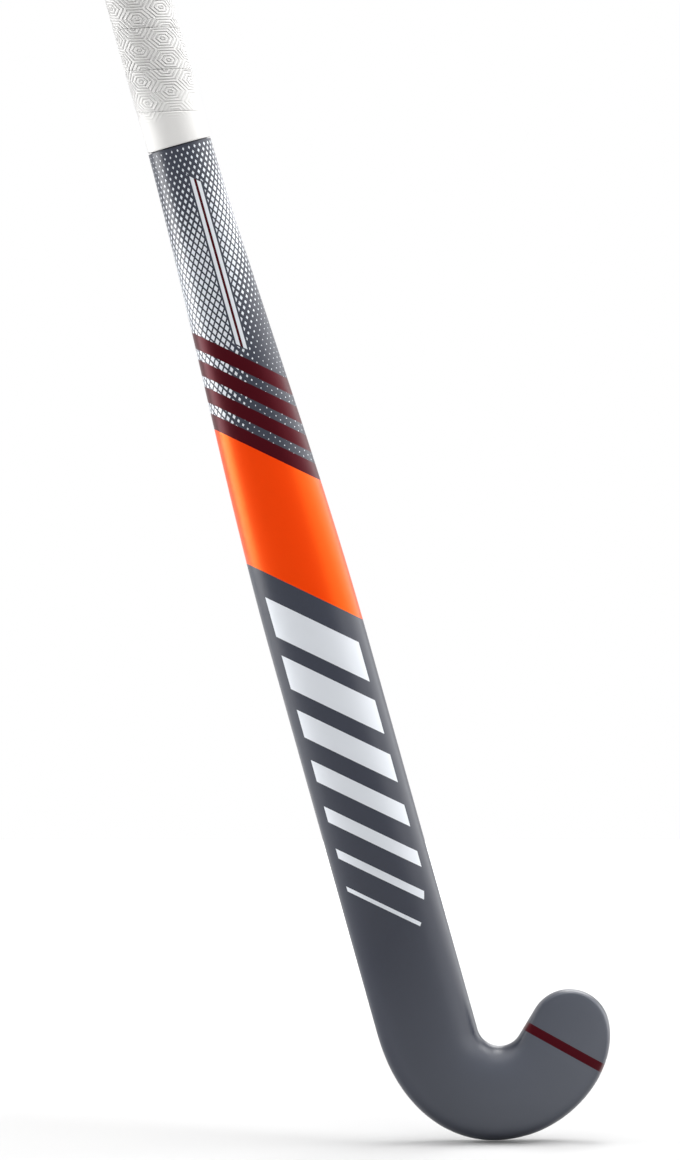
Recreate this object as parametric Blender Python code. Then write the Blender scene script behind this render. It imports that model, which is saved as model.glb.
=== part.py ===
"""Indoor hockey stick, right-handed, 36.5 inch, moulded in fibre composite.

Lengths here are in millimetres and become metres where a mesh is made. Three directions are used:
x runs from the heel side to the toe side, y from the rounded back to the flat playing face, and
height runs up from the lowest point of the head. The part's origin lies on the handle's axis, in
the middle of the grip, with +Z up the handle.
"""

import math

import bmesh
import bpy
import numpy as np

MM = 0.001

# Heights of the whole stick
LENGTH = 927.0              # lowest point of the head to the top of the end cap, 36.5 inch
COLLAR_HEIGHT = 512.0       # where the lacquered shaft ends and the grip starts
COLLAR_STEP = 0.3           # height of the step down to the bare handle
GRIP_MIDDLE = 717.0         # the part's origin
LAMINATE_TOP = 922.0
FULL_WIDTH_HEIGHT = 260.0   # below this the shaft has its full width
HANDLE_HEIGHT = 540.0       # above this the taper has ended

# Cross-section of the shaft and the bare handle
SHAFT_HALF_WIDTH = 24.0     # a stick has to pass through a 51 mm ring
TAPER_HALF_WIDTH = 15.5
HANDLE_HALF_WIDTH = 13.9
HANDLE_HALF_DEPTH = 12.7
HEAD_FRONT_DEPTH = 5.5      # from the widest plane to the flat playing face
HEAD_BACK_DEPTH = 13.5      # from the widest plane to the back of the head
TOE_BACK_DEPTH = 11.0
SHAFT_BACK_DEPTH = 16.5
TAPER_DEPTH = 14.3
FACE_EDGE_RADIUS = 5.5
ROUND_EXPONENT = 2.2        # 2 would be an ellipse
FACE_FADE_START = 220.0     # above this the flat face rounds off towards the handle
BACK_SWELL = (60.0, 170.0)  # heights between which the back deepens
TOE_RIM_WIDTH = 2.0         # how far in from the outline the steep rim of the toe ends
TOE_RIM_SHARE = 0.72        # share of the toe's back depth that its rim takes
INNER_RIM_WIDTH = 1.5       # least width of that rim on the inside
RIM_GROWTH = (0.3, 0.95)    # shares of the way round the head between which the rim grows out of the dome
TOE_THINNING = (0.3, 1.0)   # shares between which the head thins to the toe

# Outline of the head
CROOK_RADIUS = 11.2
CROOK_CENTRE = np.array([SHAFT_HALF_WIDTH + CROOK_RADIUS, 56.9])
TOE_RADIUS = 19.7
TOE_CENTRE = np.array([67.3, 44.8])
BASE_X = 33.6               # the lowest point of the head
SHOULDER_HEIGHT = 69.0      # where the heel starts to curve away from the shaft
HEEL_EXPONENT = 2.2
FORE_EXPONENT = 1.87

# Bow: the head leans forward of the straight handle, through one long bend
BOW_START = 110.0
BOW_END = 318.0
HEAD_SLOPE = 0.137

# Walls and the room between neighbouring pieces
SHAFT_WALL = 2.0
HEAD_WALL = 3.4
WALL_CHANGE = (60.0, 140.0)
NECK_LENGTH = 40.0          # below the collar, where the inside narrows to the handle's
TUBE_WALL = 1.2
FIT_GAP = 0.3
WEB_CORNER = 3.0
CORE_TOP = 96.5
TUBE_BOTTOM = 97.0
TUBE_TOP = 849.5
PLUG_BOTTOM = 850.0
PLUG_TOP = 907.5
SPIGOT_BOTTOM = 908.0
SPIGOT_WALL = 2.0
SPIGOT_LEAD = (0.7, 1.5)    # width and height of the chamfer that leads the spigot in
CAP_CHAMFER = 0.4           # under the rim of the cap
CAP_RIM = 1.7               # height at which the cap's rim starts to round over
CAP_ROUND = 5.0             # how far in from the rim the flat top starts
CAP_EXPONENT = 2.5

# Grip strip
GRIP_PITCH = 21.1
STRIP_GAP = 0.6
STRIP_INNER = 0.4           # clear of the laminate
STRIP_START = 1.75          # outer offset at the plain start
STRIP_FULL = 2.0            # outer offset of the full strip
STRIP_BEVEL = 0.9
STRIP_BEVEL_DEPTH = 0.5
STRIP_TIP = 1.5             # least width of the pointed ends
STRIP_SWELL = (10.0, 30.0)  # heights above its start between which the strip reaches its full thickness
GRIP_BOTTOM = 512.7
GRIP_TOP = 921.6
START_SHARE = 0.544         # share of the way round the handle, from the toe side over the face
STEPS_PER_TURN = 24

# Counts
LATERAL_STEPS = 18          # from edge to edge, on each side of a ring
HANDLE_RINGS = 4
SHAFT_RINGS = 18
FAN_RINGS = 20
TOE_RINGS = 10
INNER_FAN_RINGS = 11
INNER_TOE_RINGS = 6
TUBE_STEPS = 10
LEAST_RING_STEP = 5.0       # no ring of a tube lies closer than this above its lower end
OVAL_POINTS = 36
OUTLINE_SAMPLES = 361
CAP_STEPS = 4               # round the edge of the cap
EDGE_SAMPLES = 90
FAN_SHARE = 0.6             # share of the way round the head that the fan of rings takes
GAP_SEARCH = 3              # sections on each side in which a turn's nearest neighbour is looked for


def smooth(value, low, high):
    """0 below low, 1 above high, and an S-curve between them."""
    t = np.clip((np.asarray(value, float) - low) / (high - low), 0.0, 1.0)
    return t * t * (3.0 - 2.0 * t)


def mix(a, b, share):
    return a + (b - a) * share


def rounding(t):
    """Rise of a rounded edge: 0 at the edge, 1 from t = 1 inwards."""
    return (1.0 - (1.0 - np.clip(t, 0.0, 1.0)) ** ROUND_EXPONENT) ** (1.0 / ROUND_EXPONENT)


def bow(height):
    """How far the middle plane lies towards the face: a straight head, a bend, a straight handle."""
    below_end = np.clip(BOW_END - np.asarray(height, float), 0.0, None)
    below_start = np.clip(BOW_START - np.asarray(height, float), 0.0, None)
    return HEAD_SLOPE * (below_end ** 2 - below_start ** 2) / (2.0 * (BOW_END - BOW_START))


def hook_tilt():
    """Angle of the straight run of the hook, the inner tangent of the crook and toe circles."""
    across = CROOK_CENTRE - TOE_CENTRE
    reach = math.acos((CROOK_RADIUS + TOE_RADIUS) / np.hypot(*across))
    return math.atan2(across[1], across[0]) - reach - math.pi / 2


TILT = hook_tilt()
ALONG = np.array([math.cos(TILT), math.sin(TILT)])
ACROSS = np.array([math.sin(TILT), -math.cos(TILT)])


def outer_edge(inset):
    """Outer side of the head from the shoulder round the heel and base to the tip of the toe."""
    t = np.linspace(0.0, math.pi / 2, EDGE_SAMPLES)
    power = 2.0 / HEEL_EXPONENT
    heel = np.stack([
        BASE_X - (BASE_X + SHAFT_HALF_WIDTH - inset) * np.cos(t) ** power,
        SHOULDER_HEIGHT - (SHOULDER_HEIGHT - inset) * np.sin(t) ** power], axis=1)
    power = 2.0 / FORE_EXPONENT
    fore = np.stack([
        BASE_X + (TOE_CENTRE[0] + TOE_RADIUS - BASE_X - inset) * np.sin(t) ** power,
        TOE_CENTRE[1] - (TOE_CENTRE[1] - inset) * np.cos(t) ** power], axis=1)
    a = np.linspace(0.0, TILT, EDGE_SAMPLES // 3)
    toe = TOE_CENTRE + (TOE_RADIUS - inset) * np.stack([np.cos(a), np.sin(a)], axis=1)
    return np.concatenate([heel, fore[1:], toe[1:]])


def head_edges(inset, fan_count, toe_count):
    """Matching points on the inner and the outer edge, fanned round the crook and then along the toe."""
    edge = outer_edge(inset) - CROOK_CENTRE
    edge_angle = np.unwrap(np.arctan2(edge[:, 1], edge[:, 0]) % (2 * math.pi))
    angle = np.linspace(math.pi, 1.5 * math.pi + TILT, fan_count)
    inner_fan = (CROOK_RADIUS + inset) * np.stack([np.cos(angle), np.sin(angle)], axis=1)
    outer_fan = np.stack([np.interp(angle, edge_angle, edge[:, i]) for i in range(2)], axis=1)

    toe_mid = TOE_CENTRE - CROOK_CENTRE
    radius = TOE_RADIUS - inset
    reach = toe_mid @ ALONG + radius
    run = reach * np.sin(math.pi / 2 * np.arange(1, toe_count + 1) / (toe_count + 1))
    past = np.clip(run - toe_mid @ ALONG, 0.0, None)
    inner_depth = toe_mid @ ACROSS - np.sqrt(radius ** 2 - past ** 2)
    outer_depth = np.interp(run, edge @ ALONG, edge @ ACROSS)
    inner_toe = run[:, None] * ALONG + inner_depth[:, None] * ACROSS
    outer_toe = run[:, None] * ALONG + outer_depth[:, None] * ACROSS

    inner = np.concatenate([inner_fan, inner_toe]) + CROOK_CENTRE
    outer = np.concatenate([outer_fan, outer_toe]) + CROOK_CENTRE
    tip = TOE_CENTRE + radius * ALONG
    progress = np.concatenate([np.linspace(0.0, FAN_SHARE, fan_count), mix(FAN_SHARE, 1.0, run / reach)])
    return inner, outer, tip, progress


def edge_distance(points, edge):
    """Distance of each point from a chain of short straight lines."""
    start = edge[:-1]
    step = edge[1:] - start
    to_point = points[..., None, :] - start
    share = np.clip((to_point * step).sum(-1) / (step ** 2).sum(-1), 0.0, 1.0)
    return np.linalg.norm(to_point - share[..., None] * step, axis=-1).min(-1)


def shaft_size(height):
    """Half width, front and back depth, front and back edge radius of the lacquered shaft."""
    taper = smooth(height, FULL_WIDTH_HEIGHT, HANDLE_HEIGHT)
    half = mix(SHAFT_HALF_WIDTH, TAPER_HALF_WIDTH, taper)
    front = mix(HEAD_FRONT_DEPTH, TAPER_DEPTH, smooth(height, FACE_FADE_START, HANDLE_HEIGHT))
    back = mix(mix(HEAD_BACK_DEPTH, SHAFT_BACK_DEPTH, smooth(height, *BACK_SWELL)), TAPER_DEPTH, taper)
    front_radius = mix(FACE_EDGE_RADIUS, half, smooth(height, FACE_FADE_START, COLLAR_HEIGHT))
    return np.stack([half, front, back, front_radius, half])


def handle_size(height):
    """The same five sizes of the bare handle under the grip."""
    sizes = [HANDLE_HALF_WIDTH, HANDLE_HALF_DEPTH, HANDLE_HALF_DEPTH, HANDLE_HALF_WIDTH, HANDLE_HALF_WIDTH]
    return np.array(sizes)[:, None] * np.ones(len(height))


def inside_size(height, clearance):
    """The five sizes inside the wall, with a clearance, easing to the handle's below the collar."""
    above = smooth(height, COLLAR_HEIGHT - NECK_LENGTH, COLLAR_HEIGHT)
    wall = mix(HEAD_WALL, SHAFT_WALL, smooth(height, *WALL_CHANGE))
    return mix(shaft_size(height), handle_size(height), above) - wall - clearance


def lateral_steps():
    """Places across a ring, from the toe side (1) to the heel side (-1), closest at the edges."""
    return np.cos(np.linspace(0.0, math.pi, LATERAL_STEPS + 1))


def close_ring(x, front, back, height):
    """One loop of points per row: along the front to the heel side, and back along the rear."""
    x_loop = np.concatenate([x, x[:, -2:0:-1]], axis=1)
    y_loop = np.concatenate([front, -back[:, -2:0:-1]], axis=1)
    height_loop = np.concatenate([height, height[:, -2:0:-1]], axis=1)
    return np.stack([x_loop, y_loop + bow(height_loop), height_loop], axis=2)


def shaft_rings(height, size):
    """Level rings of the shaft for the given heights, from the five sizes at each height."""
    half, front, back, front_radius, back_radius = size[:, :, None]
    x = half * lateral_steps()
    margin = half - np.abs(x)
    level = height[:, None] * np.ones_like(x)
    return close_ring(x, front * rounding(margin / front_radius), back * rounding(margin / back_radius), level)


def back_profile(margin, progress, inset):
    """Depth of the head's back by distance from the outline: a full dome, which turns into a steep rim
    with a gentle dome within it on the way round to the toe."""
    dome_width = mix(SHAFT_HALF_WIDTH, TOE_RADIUS, smooth(progress, 0.0, FAN_SHARE)) - inset
    rim_width = max(TOE_RIM_WIDTH - inset, INNER_RIM_WIDTH)
    rim_share = TOE_RIM_SHARE * smooth(progress, *RIM_GROWTH)
    depth = mix(HEAD_BACK_DEPTH, TOE_BACK_DEPTH, smooth(progress, *TOE_THINNING)) - inset
    return depth * mix(rounding(margin / dome_width), rounding(margin / rim_width), rim_share)


def head_rings(inset, fan_count, toe_count):
    """Rings round the hook and along the toe, whose depth grows with the distance from the outline."""
    inner, outer, tip, progress = head_edges(inset, fan_count, toe_count)
    inner_line, outer_line, _, _ = head_edges(inset, EDGE_SAMPLES, EDGE_SAMPLES)
    into_shaft = np.array([0.0, 2.0 * SHAFT_HALF_WIDTH])
    inner_line = np.concatenate([inner_line[:1] + into_shaft, inner_line])
    outer_line = np.concatenate([outer_line[:1] + into_shaft, outer_line])
    outline = np.concatenate([inner_line, [tip], outer_line[::-1]])
    share = (lateral_steps()[None, :, None] + 1.0) / 2.0
    points = outer[:, None] + (inner - outer)[:, None] * share
    margin = edge_distance(points, outline)
    margin[:, [0, -1]] = 0.0
    front = (HEAD_FRONT_DEPTH - inset) * rounding(margin / (FACE_EDGE_RADIUS - inset))
    back = back_profile(margin, progress[:, None], inset)
    rings = close_ring(points[..., 0], front, back, points[..., 1])
    return rings, np.array([tip[0], bow(tip[1]), tip[1]])


def tube_rings(height, clearance, side):
    """Half-sections of one shaft tube: the wall's inside curve, closed by the flat web at the middle."""
    half, front, back, front_radius, back_radius = inside_size(height, clearance)[:, :, None]
    web = clearance - FIT_GAP / 2
    share = (1.0 - np.cos(np.linspace(0.0, math.pi, TUBE_STEPS + 1))) / 2.0
    x = mix(half, web, share)
    web_margin = (x - web) / (WEB_CORNER - clearance / 2)
    front_y = front * rounding((half - x) / front_radius) * rounding(web_margin)
    back_y = back * rounding((half - x) / back_radius) * rounding(web_margin)
    level = height[:, None] * np.ones_like(x)
    rings = close_ring(x, front_y, back_y, level)
    rings[:, :, 0] *= side
    return rings


def oval_ring(offset, height):
    """The bare handle's outline moved outwards by offset, at one height."""
    t = np.linspace(0.0, 2 * math.pi, OVAL_POINTS, endpoint=False)
    x, y = handle_point(t, offset)
    return np.stack([x, y, np.full(OVAL_POINTS, height)], axis=1)


def handle_point(angle, offset):
    """Place on the handle's outline, offset outwards, by angle from the toe side towards the face."""
    power = 2.0 / ROUND_EXPONENT
    x = (HANDLE_HALF_WIDTH + offset) * np.sign(np.cos(angle)) * np.abs(np.cos(angle)) ** power
    y = (HANDLE_HALF_DEPTH + offset) * np.sign(np.sin(angle)) * np.abs(np.sin(angle)) ** power
    return x, y


def outline_angle(share):
    """Angle at a share of the way round the bare handle, measured along its outline from the toe side."""
    angle = np.linspace(0.0, 2 * math.pi, OUTLINE_SAMPLES)
    x, y = handle_point(angle, 0.0)
    way = np.concatenate([[0.0], np.cumsum(np.hypot(np.diff(x), np.diff(y)))])
    return np.interp(share % 1.0, way / way[-1], angle)


def add_ring(bm, ring):
    return [bm.verts.new((x * MM, y * MM, (height - GRIP_MIDDLE) * MM)) for x, y, height in ring]


def skin(bm, rings):
    """Four-sided faces between each ring and the next. Returns the first and the last ring."""
    loops = [add_ring(bm, ring) for ring in rings]
    for upper, lower in zip(loops, loops[1:]):
        bridge(bm, upper, lower)
    return loops[0], loops[-1]


def bridge(bm, first, second):
    count = len(first)
    for i in range(count):
        j = (i + 1) % count
        bm.faces.new((first[i], second[i], second[j], first[j]))


def close_to_point(bm, loop, point):
    tip = add_ring(bm, [point])[0]
    for i, vertex in enumerate(loop):
        bm.faces.new((vertex, tip, loop[(i + 1) % len(loop)]))


def make_object(bm, name, material, sharp_angle=40.0):
    """Turn the finished shape into a smooth-shaded object with its material."""
    bmesh.ops.recalc_face_normals(bm, faces=bm.faces)
    mesh = bpy.data.meshes.new(name)
    bm.to_mesh(mesh)
    bm.free()
    mesh.shade_smooth()
    mesh.set_sharp_from_angle(angle=math.radians(sharp_angle))
    mesh.materials.append(material)
    obj = bpy.data.objects.new(name, mesh)
    bpy.context.collection.objects.link(obj)
    return obj


def make_material(name, colour, roughness, metallic=0.0):
    material = bpy.data.materials.new(name)
    material.use_nodes = True
    shader = material.node_tree.nodes["Principled BSDF"]
    shader.inputs["Base Color"].default_value = (*colour, 1.0)
    shader.inputs["Roughness"].default_value = roughness
    shader.inputs["Metallic"].default_value = metallic
    return material


def make_outer_laminate(material):
    """The moulded skin of shaft and head, hollow and open at the handle end."""
    shaft = np.linspace(COLLAR_HEIGHT, SHOULDER_HEIGHT, SHAFT_RINGS)
    handle = np.linspace(LAMINATE_TOP, COLLAR_HEIGHT + COLLAR_STEP, HANDLE_RINGS)
    bm = bmesh.new()
    head, tip = head_rings(0.0, FAN_RINGS, TOE_RINGS)
    outside = [shaft_rings(handle, handle_size(handle)), shaft_rings(shaft, shaft_size(shaft)), head]
    top_outside, toe_outside = skin(bm, np.concatenate(outside))
    close_to_point(bm, toe_outside, tip)
    head, tip = head_rings(HEAD_WALL, INNER_FAN_RINGS, INNER_TOE_RINGS)
    heights = np.concatenate([handle, shaft])
    inside = [shaft_rings(heights, inside_size(heights, 0.0)), head]
    top_inside, toe_inside = skin(bm, np.concatenate(inside))
    close_to_point(bm, toe_inside, tip)
    bridge(bm, top_outside, top_inside)
    return make_object(bm, "outer_laminate", material)


def make_shaft_tube(name, side, material):
    """One of the two inner tubes, from the head core up to the handle plug."""
    shaft = np.linspace(COLLAR_HEIGHT, SHOULDER_HEIGHT, SHAFT_RINGS)
    shaft = shaft[shaft > TUBE_BOTTOM + LEAST_RING_STEP]
    heights = np.concatenate([[TUBE_TOP, COLLAR_HEIGHT + COLLAR_STEP], shaft, [TUBE_BOTTOM]])
    bm = bmesh.new()
    top_outside, bottom_outside = skin(bm, tube_rings(heights, FIT_GAP, side))
    top_inside, bottom_inside = skin(bm, tube_rings(heights, FIT_GAP + TUBE_WALL, side))
    bridge(bm, top_outside, top_inside)
    bridge(bm, bottom_outside, bottom_inside)
    return make_object(bm, name, material)


def make_head_core(material):
    """The foam that fills the head, from the tubes' lower ends round the hook to the toe."""
    heights = np.array([CORE_TOP, SHOULDER_HEIGHT])
    head, tip = head_rings(HEAD_WALL + FIT_GAP, INNER_FAN_RINGS, INNER_TOE_RINGS)
    bm = bmesh.new()
    top, toe = skin(bm, np.concatenate([shaft_rings(heights, inside_size(heights, FIT_GAP)), head]))
    bm.faces.new(top)
    close_to_point(bm, toe, tip)
    return make_object(bm, "head_core", material)


def make_handle_plug(material):
    """The foam plug between the tubes' upper ends and the end cap's spigot."""
    bm = bmesh.new()
    offset = -SHAFT_WALL - FIT_GAP
    top, bottom = skin(bm, [oval_ring(offset, PLUG_TOP), oval_ring(offset, PLUG_BOTTOM)])
    bm.faces.new(top)
    bm.faces.new(bottom)
    return make_object(bm, "handle_plug", material)


def make_end_cap(material):
    """A flange with a rounded rim that covers the laminate and the grip, on a hollow spigot."""
    outer = -SHAFT_WALL - FIT_GAP
    inner = outer - SPIGOT_WALL
    seat = LAMINATE_TOP + FIT_GAP
    rim = seat + CAP_RIM
    lead_width, lead_height = SPIGOT_LEAD
    profile = [
        (inner, SPIGOT_BOTTOM),
        (outer - lead_width, SPIGOT_BOTTOM),
        (outer, SPIGOT_BOTTOM + lead_height),
        (outer, seat),
        (STRIP_FULL - CAP_CHAMFER, seat),
        (STRIP_FULL, seat + CAP_CHAMFER),
    ]
    for step in range(CAP_STEPS + 1):
        angle = math.pi / 2 * step / CAP_STEPS
        inwards = 1.0 - math.cos(angle) ** (2.0 / CAP_EXPONENT)
        upwards = math.sin(angle) ** (2.0 / CAP_EXPONENT)
        profile.append((STRIP_FULL - CAP_ROUND * inwards, rim + (LENGTH - rim) * upwards))
    bm = bmesh.new()
    bottom, top = skin(bm, [oval_ring(offset, height) for offset, height in profile])
    roof = add_ring(bm, oval_ring(inner, seat - SPIGOT_WALL))
    bridge(bm, bottom, roof)
    bm.faces.new(roof)
    bm.faces.new(top)
    return make_object(bm, "end_cap", material)


def strip_sections():
    """Six-sided sections of the grip strip, wound upwards from its pointed start to its pointed end."""
    width = GRIP_PITCH - STRIP_GAP
    first = STRIP_TIP / GRIP_PITCH
    last = (GRIP_TOP - GRIP_BOTTOM + width - STRIP_TIP) / GRIP_PITCH
    steps = int(round((last - first) * STEPS_PER_TURN))
    turn = first + np.arange(steps + 1) / STEPS_PER_TURN
    upper_edge = GRIP_BOTTOM + GRIP_PITCH * turn
    low = np.maximum(GRIP_BOTTOM, upper_edge - width)
    high = np.minimum(GRIP_TOP, upper_edge)
    bevel = np.minimum(STRIP_BEVEL, (high - low) / 3.0)
    heights = np.stack([low, high, high, high - bevel, low + bevel, low], axis=1)
    full = mix(STRIP_START, STRIP_FULL, smooth(heights - GRIP_BOTTOM, *STRIP_SWELL))
    sunk = np.array([0.0, 0.0, STRIP_BEVEL_DEPTH, 0.0, 0.0, STRIP_BEVEL_DEPTH])
    inside = np.array([1.0, 1.0, 0.0, 0.0, 0.0, 0.0])
    offset = mix(full - sunk, STRIP_INNER, inside)
    x, y = handle_point(outline_angle(START_SHARE - turn)[:, None], offset)
    return np.stack([x, y, heights], axis=2)


def strip_clearance(sections):
    """Least distance between the upper edge of a turn and the lower edge of the next one."""
    lower = sections[STEPS_PER_TURN:, [0, 5]]
    upper = sections[:-STEPS_PER_TURN, [1, 2]]
    gaps = []
    for column in range(2):
        chain = upper[:, column]
        for index, point in enumerate(lower[:, column]):
            near = chain[max(0, index - GAP_SEARCH):index + GAP_SEARCH + 1]
            gaps.append(edge_distance(point[None], near)[0])
    return min(gaps)


def make_grip_tape(material):
    """The cushioned grip: one unbroken strip wound edge to edge up the handle."""
    sections = strip_sections()
    print(f"grip strip: least gap between its turns {strip_clearance(sections):.2f} mm")
    bm = bmesh.new()
    start, end = skin(bm, sections)
    bm.faces.new(start)
    bm.faces.new(end)
    return make_object(bm, "grip_tape", material, sharp_angle=25.0)


def main():
    for obj in list(bpy.data.objects):
        bpy.data.objects.remove(obj, do_unlink=True)

    lacquer = make_material("satin_charcoal_lacquer", (0.068, 0.074, 0.09), 0.4)
    fibre = make_material("moulded_carbon_fibre", (0.02, 0.02, 0.022), 0.5)
    foam = make_material("cream_core_foam", (0.72, 0.62, 0.4), 0.9)
    cap = make_material("black_moulded_rubber", (0.025, 0.025, 0.028), 0.7)
    grip = make_material("white_cushion_grip", (0.86, 0.86, 0.85), 0.55)

    make_outer_laminate(lacquer)
    make_shaft_tube("toe_side_tube", 1.0, fibre)
    make_shaft_tube("heel_side_tube", -1.0, fibre)
    make_head_core(foam)
    make_handle_plug(foam)
    make_end_cap(cap)
    make_grip_tape(grip)


main()
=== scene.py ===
import math

import bpy
import numpy as np
from mathutils import Matrix


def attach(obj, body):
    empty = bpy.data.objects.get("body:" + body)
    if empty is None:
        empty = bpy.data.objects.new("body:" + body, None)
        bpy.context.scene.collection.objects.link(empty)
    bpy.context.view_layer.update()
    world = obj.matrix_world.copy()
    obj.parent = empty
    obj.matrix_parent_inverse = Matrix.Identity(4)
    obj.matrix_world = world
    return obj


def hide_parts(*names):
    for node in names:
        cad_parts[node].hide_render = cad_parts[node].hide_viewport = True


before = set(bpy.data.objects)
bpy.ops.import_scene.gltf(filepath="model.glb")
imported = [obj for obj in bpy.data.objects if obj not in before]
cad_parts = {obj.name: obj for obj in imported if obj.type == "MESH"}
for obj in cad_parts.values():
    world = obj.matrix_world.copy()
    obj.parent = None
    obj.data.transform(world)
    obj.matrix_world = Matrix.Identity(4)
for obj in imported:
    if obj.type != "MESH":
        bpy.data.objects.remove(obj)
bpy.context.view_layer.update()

# Inner tubes
# Each tube is a braided carbon sleeve, inflated against the skin in the mould and cured there in epoxy.
# No paint covers them: the bias braid shows, dark grey with the dull gloss of bare resin.

MM = 0.001                  # one millimetre in metres; sizes are in millimetres where nothing else is said
YARN = 2.4                  # width of one braided yarn
YARN_HEIGHT = 0.15          # how far a yarn rises where it goes over another
YARN_EDGE = 0.3             # the tint goes from dark to light between this far below and above the middle of the height: painted shade in the low cells


def linear(colour):
    """An sRGB hex colour as linear red, green, blue and an alpha of 1."""
    part = np.array([int(colour[i:i + 2], 16) for i in (0, 2, 4)]) / 255.0
    return (*np.where(part <= 0.04045, part / 12.92, ((part + 0.055) / 1.055) ** 2.4).tolist(), 1.0)


def add_node(tree, kind, inputs=(), **settings):
    """A node of one kind. Inputs go by place or by name, and are values, or nodes or sockets to link."""
    node = tree.nodes.new("ShaderNode" + kind)
    for name, value in settings.items():
        setattr(node, name, value)
    for key, value in inputs.items() if isinstance(inputs, dict) else enumerate(inputs):
        if isinstance(value, bpy.types.Node):
            value = value.outputs[0]
        if isinstance(value, bpy.types.NodeSocket):
            tree.links.new(value, node.inputs[key])
        elif value is not None:
            node.inputs[key].default_value = value
    return node


def start_material(name):
    """A new material's empty node tree."""
    material = bpy.data.materials.new(name)
    material.use_nodes = True
    material.node_tree.nodes.clear()
    return material, material.node_tree


def braided_carbon():
    """Bare cured carbon braid: yarns at 45 degrees both ways, which go over and under each other.

    The height is the product of two sines, of the ways along both diagonals; its low cells get painted shade.
    The resin gives a dull gloss."""
    material, tree = start_material("bare braided carbon")
    place = add_node(tree, "TexCoord").outputs["Object"]
    part = add_node(tree, "SeparateXYZ", [place])
    around = add_node(tree, "Math", [part.outputs["X"], part.outputs["Y"]], operation="ADD")
    turn = math.pi / (YARN * MM)
    crossings = []
    for operation in ("ADD", "SUBTRACT"):
        bias = add_node(tree, "Math", [part.outputs["Z"], around], operation=operation)
        angle = add_node(tree, "Math", [bias, turn], operation="MULTIPLY")
        crossings.append(add_node(tree, "Math", [angle], operation="SINE"))
    over = add_node(tree, "Math", crossings, operation="MULTIPLY")
    colour = add_node(tree, "ValToRGB", [add_node(tree, "MapRange", [over, -YARN_EDGE, YARN_EDGE])])
    colour.color_ramp.elements[0].color = linear("15161a")
    colour.color_ramp.elements[1].color = linear("2c2e33")
    bump = add_node(tree, "Bump", {"Strength": 0.4, "Distance": YARN_HEIGHT * MM, "Height": over})
    shader = add_node(tree, "BsdfPrincipled", {
        "Base Color": colour, "Roughness": 0.42, "IOR": 1.55, "Normal": bump})
    add_node(tree, "OutputMaterial", [shader])
    return material


def finish_node(name, material):
    """Give a carried-over node its finish."""
    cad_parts[name].data.materials.clear()
    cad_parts[name].data.materials.append(material)


braid = braided_carbon()
finish_node("toe_side_tube", braid)
finish_node("heel_side_tube", braid)

# Head core and handle plug
# Both are cut from closed-cell foam, the core milled to the inside of the head before the moulding.
# The cut cells show as fine pits in the cream foam.

CELL = 0.9                  # size of one foam cell, drawn a little coarser than the real one
CELL_DEPTH = 0.3
FOAM_CLOUDS = 0.04          # patches of another tint per millimetre


def cut_foam():
    """Milled closed-cell foam: matt, with pits between thin cell walls and a slow change of tint."""
    material, tree = start_material("milled closed cell foam")
    place = add_node(tree, "TexCoord").outputs["Object"]
    cells = add_node(tree, "TexVoronoi", {"Vector": place, "Scale": 1.0 / (CELL * MM)})
    tint = add_node(tree, "TexNoise", {"Vector": place, "Scale": FOAM_CLOUDS / MM, "Detail": 3.0})
    colour = add_node(tree, "ValToRGB", [tint])
    colour.color_ramp.elements[0].color = linear("d3bb8c")
    colour.color_ramp.elements[1].color = linear("e6d3a8")
    bump = add_node(tree, "Bump", {
        "Strength": 0.8, "Distance": CELL_DEPTH * MM, "Height": cells.outputs["Distance"]})
    shader = add_node(tree, "BsdfPrincipled", {"Base Color": colour, "Roughness": 0.9, "Normal": bump})
    add_node(tree, "OutputMaterial", [shader])
    return material


foam = cut_foam()
finish_node("head_core", foam)
finish_node("handle_plug", foam)

# Moulded stick
# Shaft and head are one carbon and glass skin, cured in a closed mould round the tubes and the core.
# It is sprayed charcoal, printed round the shaft, and sealed under one satin clear lacquer.

# Heights count from the lowest point of the head, and depths from the widest plane.
LENGTH = 927.0
LAMINATE_TOP = 922.0        # the skin's open end, under the cap
GRIP_MIDDLE = 717.0         # height of the part's origin
COLLAR = 512.0              # where the lacquered shaft ends
COLLAR_STEP = 0.3           # height of the step from the shaft to the bare handle
SHAFT_HALF = 24.0           # half width of the shaft next to the head
SHAFT_TAPER = (260.0, 540.0)    # heights between which it narrows, though the collar ends it before
TAPER_HALF = 15.5           # half width at the end of the taper
TAPER_DEPTH = 14.3          # depth of front and back at the end of the taper
HANDLE_HALF = (13.9, 12.7)  # half width and half depth of the bare handle
FRONT_DEPTH = 5.5
FACE_EDGE = 5.5             # width of the rounding along the edges of the flat face
FACE_END = 220.0            # height at which the face starts to round off towards the handle
HEAD_BACK_DEPTH, TOE_BACK_DEPTH, SHAFT_BACK_DEPTH = 13.5, 11.0, 16.5
BACK_SWELL = (60.0, 170.0)  # heights between which the head's back deepens to the shaft's
TOE_THINNING = (0.3, 1.0)   # progress along the hook over which its back thins
RIM_GROWTH = (0.3, 0.95)    # progress along the hook over which its steep rim grows
TOE_RIM_WIDTH, INNER_RIM_WIDTH = 2.0, 1.5   # of that rim, on the skin's outside and on its inside
TOE_RIM_SHARE = 0.72        # share of the toe's back depth that its steep rim takes
SQUARENESS = 2.2            # exponent of the rounded sections
CROOK_RADIUS = 11.2
CROOK = np.array([SHAFT_HALF + CROOK_RADIUS, 56.9])     # middle of the crook's circle
CROOK_END = 0.6             # progress along the hook at which the crook is passed
TOE_RADIUS = 19.7
TOE = np.array([67.3, 44.8])    # middle of the toe's circle
BASE_X = 33.6               # where the head's outline is lowest
SHOULDER = 69.0             # height at which the outline leaves the straight shaft
HEEL_POWER = 2 / 2.2        # powers of sine and cosine in the outline's two superellipse quarters
FORE_POWER = 2 / 1.87
OUTLINE_STEPS = 240         # points on each of the quarters
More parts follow.
